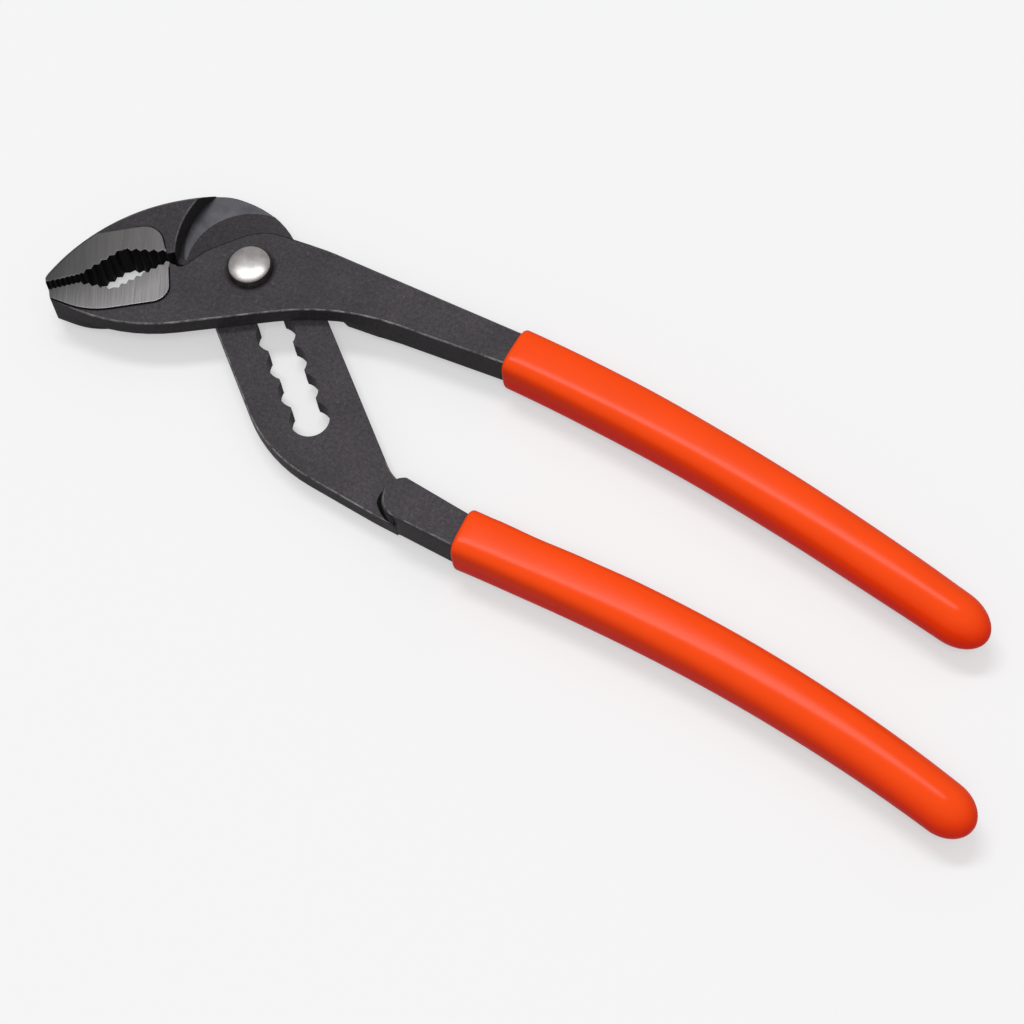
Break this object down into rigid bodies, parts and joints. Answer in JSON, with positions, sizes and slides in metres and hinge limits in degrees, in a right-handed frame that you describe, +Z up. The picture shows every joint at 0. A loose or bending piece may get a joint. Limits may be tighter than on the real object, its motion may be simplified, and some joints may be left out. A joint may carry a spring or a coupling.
{
  "type": "water pump pliers",
  "caption": "Slip-joint water pump pliers with toothed V jaws on lapped forged arms, a notched slot that sets the jaw opening, a domed pivot bolt and dipped vinyl grips.",
  "frame": {"origin": "on the pivot axis, in the plane of the nut's rear face that the tool rests on", "axes": "+X along the front arm towards the handle ends, +Y towards the upper jaw's side, +Z up along the pivot axis through the bolt's domed head"},
  "size_m": [0.2606, 0.0939, 0.0159],
  "materials": {
    "black_steel": "black phosphate on forged steel, with the sides of both jaws ground bright",
    "bolt_steel": "bright zinc",
    "nut_steel": "dull zinc",
    "orange_vinyl": "dipped vinyl with a soft gloss"
  },
  "bodies": {
    "front_arm": {"front_arm": "black_steel", "pivot_bolt": "bolt_steel", "pivot_nut": "nut_steel", "upper_grip": "orange_vinyl"},
    "pivot_washer": {"pivot_washer": "nut_steel"},
    "rear_arm": {"rear_arm": "black_steel", "lower_grip": "orange_vinyl"}
  },
  "joints": [
    {"name": "jaw_pivot", "type": "hinge", "parent": "front_arm", "child": "pivot_washer", "pos_m": [0, 0, 0.0056], "axis": [0, 0, -1], "range_deg": [-1.2, 50]},
    {"name": "slip_joint", "type": "slide", "parent": "pivot_washer", "child": "rear_arm", "axis": [-0.7071, 0.7071, 0], "range_m": [0, 0.043]}
  ]
}
